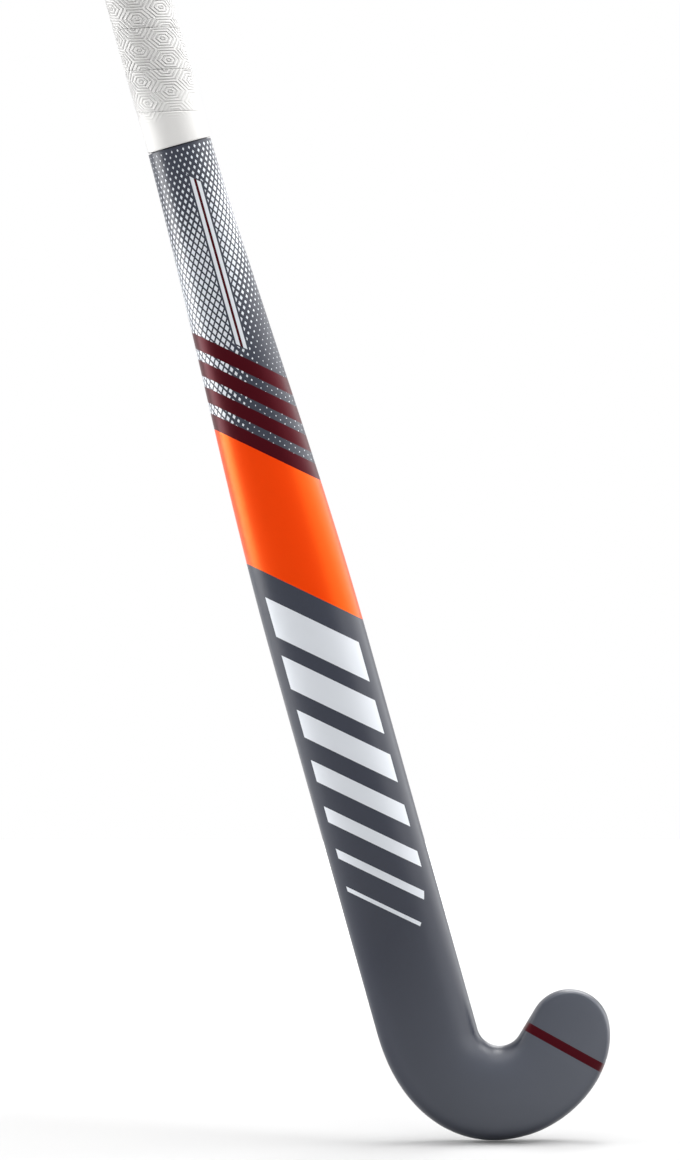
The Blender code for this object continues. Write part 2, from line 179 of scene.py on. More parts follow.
TOE_ARC_STEPS = 90          # points on the toe's arc
BOW_START, BOW_END = 110.0, 318.0           # heights between which the stick is bent
HEAD_SLOPE = 0.137          # lean of the straight head away from the handle's line
SHAFT_WALL, HEAD_WALL = 2.0, 3.4
WALL_THINNING = (60.0, 140.0)   # heights between which the head's wall thins to the shaft's
NECK_LENGTH = 40.0          # how far below the collar the inside starts to ease to the handle's size
SPAN_STEPS = 64             # columns from one edge of the stick to the other, on each side
HANDLE_ROWS, SHAFT_ROWS = 12, 130
INSIDE_STRIDE = 5           # the inside takes every fifth row of the shaft
CREASE_ANGLE = 35.0         # degrees between two faces from which their edge is left sharp


def s_curve(value, low, high):
    """0 up to low, 1 from high on, and 3 t squared minus 2 t cubed of the share t between them."""
    share = np.clip((np.asarray(value, float) - low) / (high - low), 0.0, 1.0)
    return share * share * (3.0 - 2.0 * share)


def between(a, b, share):
    """The value a at a share of 0, b at 1, and evenly on between."""
    return a + (b - a) * share


def round_over(share):
    """Rise of a moulded edge, 0 at the rim and 1 from share 1 inwards, along a superellipse."""
    return (1.0 - (1.0 - np.clip(share, 0.0, 1.0)) ** SQUARENESS) ** (1.0 / SQUARENESS)


def bow(height):
    """Way of the middle plane towards the face: a parabola between the straight head and handle."""
    above = np.clip(BOW_END - height, 0.0, None) ** 2
    below = np.clip(BOW_START - height, 0.0, None) ** 2
    return HEAD_SLOPE * (above - below) / (2.0 * (BOW_END - BOW_START))


def hook_direction():
    """Angle of the line that touches the crook's and the toe's circle, and unit vectors along and across it."""
    gap = CROOK - TOE
    angle = math.atan2(gap[1], gap[0]) - math.acos((CROOK_RADIUS + TOE_RADIUS) / np.hypot(*gap)) - math.pi / 2
    return angle, np.array([math.cos(angle), math.sin(angle)]), np.array([math.sin(angle), -math.cos(angle)])


TILT, ALONG, ACROSS = hook_direction()


def outer_line(inset):
    """Heel, base and toe from the shoulder on: two superellipse quarters and an arc, drawn in by inset."""
    t = np.linspace(0.0, math.pi / 2, OUTLINE_STEPS)
    heel = [BASE_X - (BASE_X + SHAFT_HALF - inset) * np.cos(t) ** HEEL_POWER,
            SHOULDER - (SHOULDER - inset) * np.sin(t) ** HEEL_POWER]
    fore = [BASE_X + (TOE[0] + TOE_RADIUS - BASE_X - inset) * np.sin(t) ** FORE_POWER,
            TOE[1] - (TOE[1] - inset) * np.cos(t) ** FORE_POWER]
    a = np.linspace(0.0, TILT, TOE_ARC_STEPS)
    toe = TOE[:, None] + (TOE_RADIUS - inset) * np.array([np.cos(a), np.sin(a)])
    return np.concatenate([heel, np.array(fore)[:, 1:], toe[:, 1:]], axis=1).T


def hook_stations(inset, shoulder_steps, fan_steps, toe_steps):
    """Pairs of points on inner and outer line: level down the shoulder, fanned round the crook, then abreast.

    Progress is 0 down the shoulder, grows with the angle round the crook, and then with the way to the tip."""
    edge = outer_line(inset)
    level = np.linspace(SHOULDER, CROOK[1], shoulder_steps + 1)[1:-1]
    inner_level = np.stack([np.full(len(level), SHAFT_HALF - inset), level], axis=1)
    heel = edge[:OUTLINE_STEPS]
    outer_level = np.stack([np.interp(-level, -heel[:, 1], heel[:, 0]), level], axis=1)

    edge = edge - CROOK
    bearing = np.unwrap(np.arctan2(edge[:, 1], edge[:, 0]) % (2 * math.pi))
    angle = np.linspace(math.pi, 1.5 * math.pi + TILT, fan_steps)
    inner_fan = (CROOK_RADIUS + inset) * np.stack([np.cos(angle), np.sin(angle)], axis=1)
    outer_fan = np.stack([np.interp(angle, bearing, edge[:, i]) for i in (0, 1)], axis=1)

    middle = TOE - CROOK
    radius = TOE_RADIUS - inset
    reach = middle @ ALONG + radius
    run = reach * np.sin(math.pi / 2 * np.arange(1, toe_steps + 1) / (toe_steps + 1))
    past = np.clip(run - middle @ ALONG, 0.0, None)
    inner_toe = run[:, None] * ALONG + (middle @ ACROSS - np.sqrt(radius ** 2 - past ** 2))[:, None] * ACROSS
    outer_toe = run[:, None] * ALONG + np.interp(run, edge @ ALONG, edge @ ACROSS)[:, None] * ACROSS

    inner = np.concatenate([inner_level, CROOK + inner_fan, CROOK + inner_toe])
    outer = np.concatenate([outer_level, CROOK + outer_fan, CROOK + outer_toe])
    progress = np.concatenate([
        np.zeros(len(level)), np.linspace(0.0, CROOK_END, fan_steps), between(CROOK_END, 1.0, run / reach)])
    return inner, outer, progress, TOE + radius * ALONG


def distance_to(points, line):
    """Distance of every point from a chain of short straight lines."""
    start, step = line[:-1], np.diff(line, axis=0)
    way = points[..., None, :] - start
    share = np.clip((way * step).sum(-1) / (step ** 2).sum(-1), 0.0, 1.0)
    return np.linalg.norm(way - share[..., None] * step, axis=-1).min(-1)


def ring(x, front, back, height):
    """Closed loops, one a row: along the face to the heel side, and back along the rear."""
    loop = [np.concatenate([side, other[:, -2:0:-1]], axis=1) for side, other in
            ((x, x), (front, -back), (height, height))]
    loop[1] = loop[1] + bow(loop[2])
    return np.stack(loop, axis=2)


SPAN = np.cos(np.linspace(0.0, math.pi, SPAN_STEPS + 1))


def level_rings(height, wall=None):
    """Sections of shaft and handle. Depth is the full depth times the round-over of the way in from the edge.

    With a wall it is the inside, which eases to the handle's size below the collar."""
    height = height[:, None]
    taper = s_curve(height, *SHAFT_TAPER)
    half = between(SHAFT_HALF, TAPER_HALF, taper)
    swell = between(HEAD_BACK_DEPTH, SHAFT_BACK_DEPTH, s_curve(height, *BACK_SWELL))
    shaft = np.stack([
        half,
        between(FRONT_DEPTH, TAPER_DEPTH, s_curve(height, FACE_END, SHAFT_TAPER[1])),
        between(swell, TAPER_DEPTH, taper),
        between(FACE_EDGE, half, s_curve(height, FACE_END, COLLAR)),
        half])
    handle = np.array([HANDLE_HALF[i] for i in (0, 1, 1, 0, 0)])[:, None, None]
    if wall is None:
        sizes = np.where(height > COLLAR, handle, shaft)
    else:
        sizes = between(shaft, handle, s_curve(height, COLLAR - NECK_LENGTH, COLLAR)) - wall[:, None]
    half, front, back, front_edge, back_edge = sizes
    x = half * SPAN
    margin = half - np.abs(x)
    level = height + 0.0 * x
    return ring(x, front * round_over(margin / front_edge), back * round_over(margin / back_edge), level)


def hook_back(margin, progress, height, inset):
    """Depth of the head's back: the full depth times a blend of two round-overs of the way in from the outline.

    One is a dome as wide as half the head, the other a narrow steep rim that takes over towards the toe."""
    swell = between(HEAD_BACK_DEPTH, SHAFT_BACK_DEPTH, s_curve(height, *BACK_SWELL))
    depth = between(swell, TOE_BACK_DEPTH, s_curve(progress, *TOE_THINNING)) - inset
    dome = round_over(margin / (between(SHAFT_HALF, TOE_RADIUS, s_curve(progress, 0.0, CROOK_END)) - inset))
    rim = round_over(margin / max(TOE_RIM_WIDTH - inset, INNER_RIM_WIDTH))
    return depth * between(dome, rim, TOE_RIM_SHARE * s_curve(progress, *RIM_GROWTH))


def hook_rings(inset, shoulder_steps, fan_steps, toe_steps):
    """Sections of the head: level, then fanned round the crook, then across the toe.

    The distance from the outline is taken from a fine one that goes on up the shaft."""
    inner, outer, progress, tip = hook_stations(inset, shoulder_steps, fan_steps, toe_steps)
    fine_inner, fine_outer = hook_stations(inset, shoulder_steps=8, fan_steps=90, toe_steps=90)[:2]
    up = np.array([0.0, 3 * SHAFT_HALF])
    line = np.concatenate([fine_inner[:1] + up, fine_inner, [tip], fine_outer[::-1], fine_outer[:1] + up])
    points = outer[:, None] + (inner - outer)[:, None] * (SPAN[None, :, None] + 1.0) / 2.0
    margin = distance_to(points, line)
    margin[:, [0, -1]] = 0.0
    front = (FRONT_DEPTH - inset) * round_over(margin / (FACE_EDGE - inset))
    level = np.where(progress > 0.0, 0.0, inner[:, 1])[:, None]
    back = hook_back(margin, progress[:, None], level, inset)
    rings = ring(points[..., 0], front, back, points[..., 1])
    return rings, np.array([[tip[0], bow(tip[1]), tip[1]]])


def row_space(points):
    """From millimetres above the head's lowest point to the part's own metres."""
    return (points - [0.0, 0.0, GRIP_MIDDLE]) * MM


def add_surface(name, rings, poles, around=None):
    """One closed skin over a grid of rings, with a fan of triangles to a pole at each end.

    Around is each point's share of the way round its ring; it and the height in metres become the UV map."""
    rows, columns = rings.shape[:2]
    index = np.arange(rows * columns).reshape(rows, columns)
    beside = np.roll(index, -1, axis=1)
    quads = np.stack([index[:-1], index[1:], beside[1:], beside[:-1]], axis=2).reshape(-1, 4)
    first, last = rows * columns, rows * columns + 1
    caps = np.concatenate([
        np.stack([index[0], beside[0], np.full(columns, first)], axis=1),
        np.stack([beside[-1], index[-1], np.full(columns, last)], axis=1)])
    points = row_space(np.concatenate([rings.reshape(-1, 3), poles]))
    mesh = bpy.data.meshes.new(name)
    mesh.from_pydata(points.tolist(), [], quads.tolist() + caps.tolist())
    mesh.shade_smooth()
    mesh.set_sharp_from_angle(angle=math.radians(CREASE_ANGLE))
    if around is not None:
        grid = np.stack([around, np.concatenate([rings[:, :, 2], rings[:, :1, 2]], axis=1) * MM], axis=2)
        corners = np.stack([grid[:-1, :-1], grid[1:, :-1], grid[1:, 1:], grid[:-1, 1:]], axis=2)
        layer = mesh.uv_layers.new(name="print")
        flat = np.zeros((len(mesh.loops), 2), np.float32)
        flat[:quads.size] = corners.reshape(-1, 2)
        layer.data.foreach_set("uv", flat.ravel())
    piece = bpy.data.objects.new(name, mesh)
    bpy.context.scene.collection.objects.link(piece)
    return piece


def way_round(rings):
    """Each point's share of the way round its ring, measured along the surface from the middle of the back."""
    closed = np.concatenate([rings, rings[:, :1]], axis=1)
    way = np.cumsum(np.linalg.norm(np.diff(closed, axis=1), axis=2), axis=1)
    way = np.concatenate([np.zeros((len(rings), 1)), way], axis=1)
    return (way - way[:, [SPAN_STEPS + SPAN_STEPS // 2]]) / way[:, -1:]


def stick_rings():
    """The whole skin as one sleeve: from the toe up the outside, over the handle end and down the inside."""
    handle = np.linspace(LAMINATE_TOP, COLLAR + COLLAR_STEP, HANDLE_ROWS)
    shaft = np.linspace(COLLAR, SHOULDER, SHAFT_ROWS)
    hook, tip = hook_rings(0.0, shoulder_steps=5, fan_steps=90, toe_steps=44)
    outside = np.concatenate([level_rings(handle), level_rings(shaft), hook])
    coarse = np.concatenate([handle[[0, -1]], shaft[::INSIDE_STRIDE]])
    wall = between(HEAD_WALL, SHAFT_WALL, s_curve(coarse, *WALL_THINNING))
    hook, inner_tip = hook_rings(HEAD_WALL, shoulder_steps=3, fan_steps=24, toe_steps=12)
    inside = np.concatenate([level_rings(coarse, wall), hook])
    return np.concatenate([outside[::-1], inside]), np.concatenate([tip, inner_tip])


# The third slate is painted light: the head's back is drawn paler where light falls on it.
DARK_SLATE, SLATE, PAINTED_LIGHT_SLATE = linear("181d2c"), linear("1e2434"), linear("4b4f59")
FLAKES = 0.9                # flecks in the slate per millimetre, drawn coarser than real ones so that they show
PAINTED_LIGHT_LEAN = 0.75           # lean of the way towards the toe along which the back gets painted light, a paler slate
PAINTED_LIGHT_FADE = (-115.0, 24.0)     # places on that way between which the painted light builds up
SIDE_SHADE_DEPTH = (5.5, 10.5)    # depths of the back between which it builds up from the sides, which keep the dark slate as painted shade
PEEL = 0.26                 # waves of the sprayed lacquer's orange peel per millimetre
PEEL_HEIGHT = 0.1           # height of a wave
PEEL_SHARE = 0.12           # share of that height that a lacquer as smooth as this one shows
LACQUER_ROUGHNESS = (0.33, 0.4)
NOISE_SPAN = (0.3, 0.7)     # nearly all values of a noise lie between these
MIX_SHARE, MIX_FIRST, MIX_SECOND, MIX_RESULT = 0, 6, 7, 2   # places of a Mix node's colour sockets
GLOSS = (0.5, 1.0)          # specular level of the print, and of the orange with its pearl pigment
WHITE = (1.0, 1.0, 1.0, 1.0)
SILVER = linear("dadee4"), WHITE            # each ink has a colour and the tint of its pearl gloss
ORANGE = linear("ee2900"), linear("ffdc50")
MAROON = linear("34030a"), linear("c8606e")
SLOPE = 0.88                # fall of the slanted prints across the stick
ORANGE_BAND = (286.5, 356.0)    # heights at x = 0, as for all slanted prints
STRIPES_TOP = 412.0
STRIPE_PITCH, STRIPE_WIDTH = 14.0, 8.4
LINE_X, LINE_WIDTH, LINE_TOP = 3.0, 4.6, 497.0      # the fine line up the middle of the back
LINE_MARGIN = 0.9           # how far the lozenges keep clear of the line
LINE_CORE = 1.2             # width of the dark line within it
MESH_ROUND = 33             # lozenges in one row round the shaft
MESH_ROW = 5.0              # height of one lozenge with its share of the lines
MESH_TOP = 510.8
MESH_GROWTH = (528.0, 468.0)    # height less x, between which the lozenges grow from small to full
MESH_SIZE = (0.08, 0.35)    # their size there, of which 0.5 would be all silver
FADE_LEAN = 0.36            # lean of the line across which the lozenges shrink, below right
FADE_X = (-4.0, 13.0)       # where they shrink, at the height of the stripes' top
FADE_SIZE = 0.25            # what share of their size is left
BAR_HALF = 19.0             # half length of the slanted bars across the back
BARS = ((262.0, 20.0), (234.0, 17.0), (208.0, 14.0), (184.0, 11.0), (162.0, 8.0), (142.0, 5.0), (124.0, 2.5))
BAND_FROM, BAND_TO = np.array([49.2, 50.3]), np.array([77.7, 22.1])     # the thin band over the toe
BAND_WIDTH = 4.4
BAND_X = (67.0, 25.0)       # middle and half of the width in which the band is printed
BACK_HALF = 20.0            # the back's prints end where y is 0, which lies this far from their middle


def printed_lacquer():
    """Satin polyurethane lacquer, sprayed over flat prints and a little wavy, so that highlights are soft.

    Each print is the overlap of bands along the coordinates named here. Slanted runs up the stick and tilts
    with the stripes, phase is its remainder by their pitch, sideways runs across the thin band of the toe, and
    the UV map gives the places of the lozenges round the shaft."""
    material, tree = start_material("satin lacquer over print")
    place = add_node(tree, "TexCoord").outputs["Object"]
    metres = add_node(tree, "SeparateXYZ", [place])
    x = add_node(tree, "Math", [metres.outputs["X"], 1 / MM], operation="MULTIPLY")
    y = add_node(tree, "Math", [metres.outputs["Y"], 1 / MM], operation="MULTIPLY")
    height = add_node(tree, "Math", [metres.outputs["Z"], 1 / MM, GRIP_MIDDLE], operation="MULTIPLY_ADD")
    downwards = add_node(tree, "Math", [height, -1.0], operation="MULTIPLY")
    slanted = add_node(tree, "Math", [x, SLOPE, height], operation="MULTIPLY_ADD")
    from_orange = add_node(tree, "Math", [slanted, ORANGE_BAND[1]], operation="SUBTRACT")
    phase = add_node(tree, "Math", [from_orange, STRIPE_PITCH], operation="FLOORED_MODULO")

    # Lozenges between two crossing sets of fine lines. They grow from the collar's heel side down, and shrink
    # again below right. Each lies within the same distance of the middle between its lines, both ways.
    uv = add_node(tree, "SeparateXYZ", [add_node(tree, "UVMap", uv_map="print")])
    across = add_node(tree, "Math", [uv.outputs["X"], MESH_ROUND], operation="MULTIPLY")
    offsets = []
    for climb in (1 / (MESH_ROW * MM), -1 / (MESH_ROW * MM)):
        lines = add_node(tree, "Math", [uv.outputs["Y"], climb, across], operation="MULTIPLY_ADD")
        share = add_node(tree, "Math", [lines], operation="FRACT")
        offset = add_node(tree, "Math", [share, 0.5], operation="SUBTRACT")
        offsets.append(add_node(tree, "Math", [offset], operation="ABSOLUTE"))
    from_middle = add_node(tree, "Math", offsets, operation="MAXIMUM")
    below_collar = add_node(tree, "Math", [x, -1.0, height], operation="MULTIPLY_ADD")
    grown = add_node(tree, "MapRange", [below_collar, *MESH_GROWTH, *MESH_SIZE])
    rightwards = add_node(tree, "Math", [height, -FADE_LEAN, x], operation="MULTIPLY_ADD")
    fade_from, fade_to = (edge - FADE_LEAN * STRIPES_TOP for edge in FADE_X)
    spared = add_node(tree, "MapRange", [rightwards, fade_from, fade_to, 1.0, FADE_SIZE])
    size = add_node(tree, "Math", [grown, spared], operation="MULTIPLY")
    mesh = add_node(tree, "Math", [from_middle, size], operation="LESS_THAN")

    direction = (BAND_TO - BAND_FROM) / np.hypot(*(BAND_TO - BAND_FROM))
    normal = np.array([-direction[1], direction[0]])
    rise = add_node(tree, "Math", [height, float(normal[1])], operation="MULTIPLY")
    sideways = add_node(tree, "Math", [x, float(normal[0]), rise], operation="MULTIPLY_ADD")

    # Painted light: a paler slate on the back, which builds up towards the toe, and painted shade round the
    # sides, where it thins out by the depth behind the middle plane, which leans evenly all the way down the
    # head.
    flake = add_node(tree, "TexNoise", {"Vector": place, "Scale": FLAKES / MM, "Detail": 2.0})
    slate = add_node(tree, "ValToRGB", [flake])
    slate.color_ramp.elements[0].color = DARK_SLATE
    slate.color_ramp.elements[1].color = SLATE
    toewards = add_node(tree, "Math", [x, PAINTED_LIGHT_LEAN, downwards], operation="MULTIPLY_ADD")
    middle_plane = add_node(tree, "Math", [
        downwards, HEAD_SLOPE, HEAD_SLOPE * (BOW_START + BOW_END) / 2], operation="MULTIPLY_ADD")
    depth = add_node(tree, "Math", [middle_plane, y], operation="SUBTRACT")
    clear_of_side_shade = add_node(tree, "MapRange", [depth, *SIDE_SHADE_DEPTH], interpolation_type="SMOOTHSTEP")
    painted_light = add_node(tree, "Math", [
        add_node(tree, "MapRange", [toewards, *PAINTED_LIGHT_FADE]), clear_of_side_shade], operation="MULTIPLY")
    slate_with_painted_light = add_node(tree, "Mix", {
        MIX_SHARE: painted_light, MIX_FIRST: slate, MIX_SECOND: PAINTED_LIGHT_SLATE}, data_type="RGBA").outputs[MIX_RESULT]
    slate = slate_with_painted_light, WHITE

    # A print is its ink, a mask or none, and bands, each a coordinate with the band's middle and half width.
    back = (y, -BACK_HALF, BACK_HALF)
    stripes = (slanted, (STRIPES_TOP + ORANGE_BAND[1]) / 2, (STRIPES_TOP - ORANGE_BAND[1]) / 2)
    on_orange = add_node(tree, "Math", [
        slanted, sum(ORANGE_BAND) / 2, (ORANGE_BAND[1] - ORANGE_BAND[0]) / 2], operation="COMPARE")
    line_middle, line_half = (STRIPES_TOP + LINE_TOP) / 2, (LINE_TOP - STRIPES_TOP) / 2
    line = (slanted, line_middle, line_half)
    prints = [
        (SILVER, mesh, [(slanted, ORANGE_BAND[1] + LENGTH, LENGTH), (height, MESH_TOP - LENGTH, LENGTH)]),
        (slate, None, [(slanted, line_middle, line_half + LINE_MARGIN),
                       (x, LINE_X, LINE_WIDTH / 2 + LINE_MARGIN), back]),
        (MAROON, None, [stripes, (phase, STRIPE_WIDTH / 2, STRIPE_WIDTH / 2)]),
        (ORANGE, on_orange, []),
        (SILVER, None, [line, (x, LINE_X, LINE_WIDTH / 2), back]),
        (MAROON, None, [line, (x, LINE_X, LINE_CORE / 2), back]),
        (MAROON, None, [(sideways, float(BAND_FROM @ normal), BAND_WIDTH / 2), (x, *BAND_X)]),
    ]
    prints += [
        (SILVER, None, [(slanted, middle, width / 2), (x, 0.0, BAR_HALF), back]) for middle, width in BARS]
    colour, gloss = slate
    for (ink, tint), mask, bands in prints:
        for coordinate, middle, half in bands:
            band = add_node(tree, "Math", [coordinate, middle, half], operation="COMPARE")
            mask = band if mask is None else add_node(tree, "Math", [mask, band], operation="MULTIPLY")
        colour = add_node(tree, "Mix", {
            MIX_SHARE: mask, MIX_FIRST: colour, MIX_SECOND: ink}, data_type="RGBA").outputs[MIX_RESULT]
        gloss = add_node(tree, "Mix", {
            MIX_SHARE: mask, MIX_FIRST: gloss, MIX_SECOND: tint}, data_type="RGBA").outputs[MIX_RESULT]

    peel = add_node(tree, "TexNoise", {"Vector": place, "Scale": PEEL / MM, "Detail": 1.0})
    bump = add_node(tree, "Bump", {"Strength": PEEL_SHARE, "Distance": PEEL_HEIGHT * MM, "Height": peel})
    rough = add_node(tree, "MapRange", [flake, *NOISE_SPAN, *LACQUER_ROUGHNESS])
    level = add_node(tree, "MapRange", [on_orange, 0.0, 1.0, *GLOSS])
    shader = add_node(tree, "BsdfPrincipled", {
        "Base Color": colour, "Roughness": rough, "IOR": 1.5, "Specular IOR Level": level,
        "Specular Tint": gloss, "Normal": bump})
    add_node(tree, "OutputMaterial", [shader])
    return material


rings, poles = stick_rings()
stick = add_surface("moulded_stick", rings, poles, way_round(rings))
stick.data.materials.append(printed_lacquer())
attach(stick, "root")
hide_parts("outer_laminate")

# End cap
# A moulded rubber cap closes the handle: its hollow spigot is pressed and glued into the skin,
# and its flange covers the ends of the skin and of the grip. The mould leaves it matt and a little grainy.

SPIGOT_BOTTOM = 908.0
SPIGOT_WALL = 2.0
SPIGOT_LEAD = (0.7, 1.5)    # width and height of the chamfer that leads the spigot in
FIT_GAP = 0.3               # room between the cap and the skin's wall and end
GRIP_PROUD = 2.0            # how far the grip stands out of the bare handle
FLANGE_EDGE = 0.4           # rounding of the flange's lower edge, whose middle lies 0.3 of it in from each side
CAP_RIM = 1.7               # height of the flange's upright side
CAP_ROUND = 5.0             # how far in from the side the flat top starts
CAP_POWER = 2 / 2.5         # power of sine and cosine in the rounding between them
CREASE = 0.1                # width of the strips that keep a corner's shading crisp
CAP_COLUMNS = 128           # points round the cap
DOME_STEPS = 14             # points up its rounding
RUBBER_GRAIN = 2.5          # grains of the mould's surface per millimetre, drawn coarser so that they show
GRAIN_HEIGHT = 0.08
DUST = 0.12                 # patches of worn and fresh rubber per millimetre
RUBBER_ROUGHNESS = (0.6, 0.75)


def oval(angle, offset):
    """The bare handle's superellipse, moved out by offset, by angle from the toe side towards the face."""
    power = 2.0 / SQUARENESS
    x = (HANDLE_HALF[0] + offset) * np.sign(np.cos(angle)) * np.abs(np.cos(angle)) ** power
    y = (HANDLE_HALF[1] + offset) * np.sign(np.sin(angle)) * np.abs(np.sin(angle)) ** power
    return x, y


def cap_rings():
    """The cap's profile, as pairs of offset from the handle's outline and height, carried round the oval.

    The rounding up to the flat top is a quarter of a superellipse. The profile's ends are closed in the middle
    of the spigot's ceiling and in the middle of the top."""
    outer = -SHAFT_WALL - FIT_GAP
    inner = outer - SPIGOT_WALL
    seat = LAMINATE_TOP + FIT_GAP
    t = np.linspace(0.0, math.pi / 2, DOME_STEPS)
    inwards = 1.0 - np.cos(t) ** CAP_POWER
    rim = seat + CAP_RIM
    dome = np.stack([GRIP_PROUD - CAP_ROUND * inwards, rim + (LENGTH - rim) * np.sin(t) ** CAP_POWER], axis=1)
    ceiling = seat - SPIGOT_WALL
    profile = np.concatenate([
        [(inner, ceiling), (inner, ceiling - CREASE), (inner, SPIGOT_BOTTOM + CREASE),
         (inner, SPIGOT_BOTTOM), (inner + CREASE, SPIGOT_BOTTOM), (outer - SPIGOT_LEAD[0], SPIGOT_BOTTOM),
         (outer, SPIGOT_BOTTOM + SPIGOT_LEAD[1]), (outer, seat - CREASE), (outer, seat), (outer + CREASE, seat),
         (GRIP_PROUD - FLANGE_EDGE, seat), (GRIP_PROUD - 0.3 * FLANGE_EDGE, seat + 0.3 * FLANGE_EDGE),
         (GRIP_PROUD, seat + FLANGE_EDGE)],
        dome, [(GRIP_PROUD - CAP_ROUND - 2 * CREASE, LENGTH)]])
    angle = np.linspace(0.0, 2 * math.pi, CAP_COLUMNS, endpoint=False)
    x, y = oval(angle, profile[:, :1])
    return np.stack([x, y, profile[:, 1:] + 0.0 * x], axis=2), [(0.0, 0.0, ceiling), (0.0, 0.0, LENGTH)]


def moulded_rubber():
    """Moulded rubber: nearly black, and matt from the fine grain of a spark-eroded mould."""
    material, tree = start_material("matt moulded rubber")
    place = add_node(tree, "TexCoord").outputs["Object"]
    grain = add_node(tree, "TexNoise", {"Vector": place, "Scale": RUBBER_GRAIN / MM, "Detail": 2.0})
    bump = add_node(tree, "Bump", {"Strength": 0.35, "Distance": GRAIN_HEIGHT * MM, "Height": grain})
    dust = add_node(tree, "TexNoise", {"Vector": place, "Scale": DUST / MM, "Detail": 4.0})
    colour = add_node(tree, "ValToRGB", [dust])
    colour.color_ramp.elements[0].color = linear("26272a")
    colour.color_ramp.elements[1].color = linear("303134")
    rough = add_node(tree, "MapRange", [dust, *NOISE_SPAN, *RUBBER_ROUGHNESS])
    shader = add_node(tree, "BsdfPrincipled", {
        "Base Color": colour, "Roughness": rough, "IOR": 1.52, "Normal": bump})
    add_node(tree, "OutputMaterial", [shader])
    return material


cap = add_surface("pressed_in_cap", *cap_rings())
cap.data.materials.append(moulded_rubber())
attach(cap, "root")
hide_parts("end_cap")

# Grip strip
# One strip of white polyurethane foam with a pressed skin is wound edge to edge up the bare handle.
# Its start is cut plain and tapered. Embossed nested hexagons keep the hand from slipping.

PITCH = 21.1                # climb of the strip in one time round
STRIP_GAP = 0.12            # the turns are wound edge to edge
STRIP_INNER = 0.4           # how far the strip's inside lies off the bare handle
STRIP_START = 1.75          # and its outside at the start
START_EASE = (10.0, 30.0)   # heights above the grip's bottom between which the strip gets its full thickness
STRIP_BEVEL, BEVEL_DEPTH = 0.5, 0.35        # width and depth of the rounding along the strip's edges
STRIP_TIP = 1.5             # how wide the strip is at its two pointed ends
GRIP_BOTTOM, GRIP_TOP = 512.7, 921.6
START_SHARE = 0.544         # of the way round, from the toe side over the face, where the strip starts
TURN_STEPS = 112            # sections in one time round
FACE_COLUMNS, INNER_COLUMNS = 22, 5         # points across the strip's outside and across its inside
MEASURE_STEPS = 720         # short lines that the length of the handle's outline is added up from


def outline_angle(share):
    """Angle at a share of the way round the bare handle, from the length of its outline up to each angle."""
    angle = np.linspace(0.0, 2 * math.pi, MEASURE_STEPS + 1)
    x, y = oval(angle, 0.0)
    way = np.concatenate([[0.0], np.cumsum(np.hypot(np.diff(x), np.diff(y)))])
    return np.interp(share % 1.0, way / way[-1], angle)


def strip_rings():
    """Cross-sections of the strip along a helix that climbs by the pitch for each time round, at an even rate.

    Each section is flat inside, and outside it is the full thickness less a round-over at both edges."""
    width = PITCH - STRIP_GAP
    first = STRIP_TIP / PITCH
    last = (GRIP_TOP - GRIP_BOTTOM + width - STRIP_TIP) / PITCH
    turn = np.linspace(first, last, int((last - first) * TURN_STEPS))[:, None]
    upper = GRIP_BOTTOM + PITCH * turn
    low, high = np.maximum(GRIP_BOTTOM, upper - width), np.minimum(GRIP_TOP, upper)
    share = (1.0 - np.cos(np.linspace(0.0, math.pi, FACE_COLUMNS))) / 2.0
    bevel = np.minimum(STRIP_BEVEL, (high - low) / 3)
    height = between(low, high, share)
    edge = np.minimum(height - low, high - height) / bevel
    full = between(STRIP_START, GRIP_PROUD, s_curve(height - GRIP_BOTTOM, *START_EASE))
    outside = full - BEVEL_DEPTH * (1.0 - round_over(edge))
    inner_height = between(low, high, np.linspace(1.0, 0.0, INNER_COLUMNS))
    height = np.concatenate([height, inner_height], axis=1)
    offset = np.concatenate([outside, STRIP_INNER + 0.0 * inner_height], axis=1)
    x, y = oval(outline_angle(START_SHARE - turn), offset)
    return np.stack([x, y, height], axis=2), turn, upper


HEX_COLUMN = 13.8           # spacing of the hexagon columns along the strip
HEX_ROW = 10.9              # spacing of the hexagons across it
RING = HEX_ROW / 8          # spacing of the nested rings, which goes on evenly from one hexagon to the next
GROOVE_EDGE = (0.02, 0.34)  # where a groove's slope begins and ends, as shares of that spacing from its middle
GROOVE_DEPTH = 0.55
EMBOSSING = (525.0, 546.0)  # heights between which it gets its full depth, because the start is left plain
PORES = 1.5                 # pores of the skin per millimetre, drawn coarser than real ones so that they show
PORE_SHARE = 0.08           # their depth as a share of a groove's


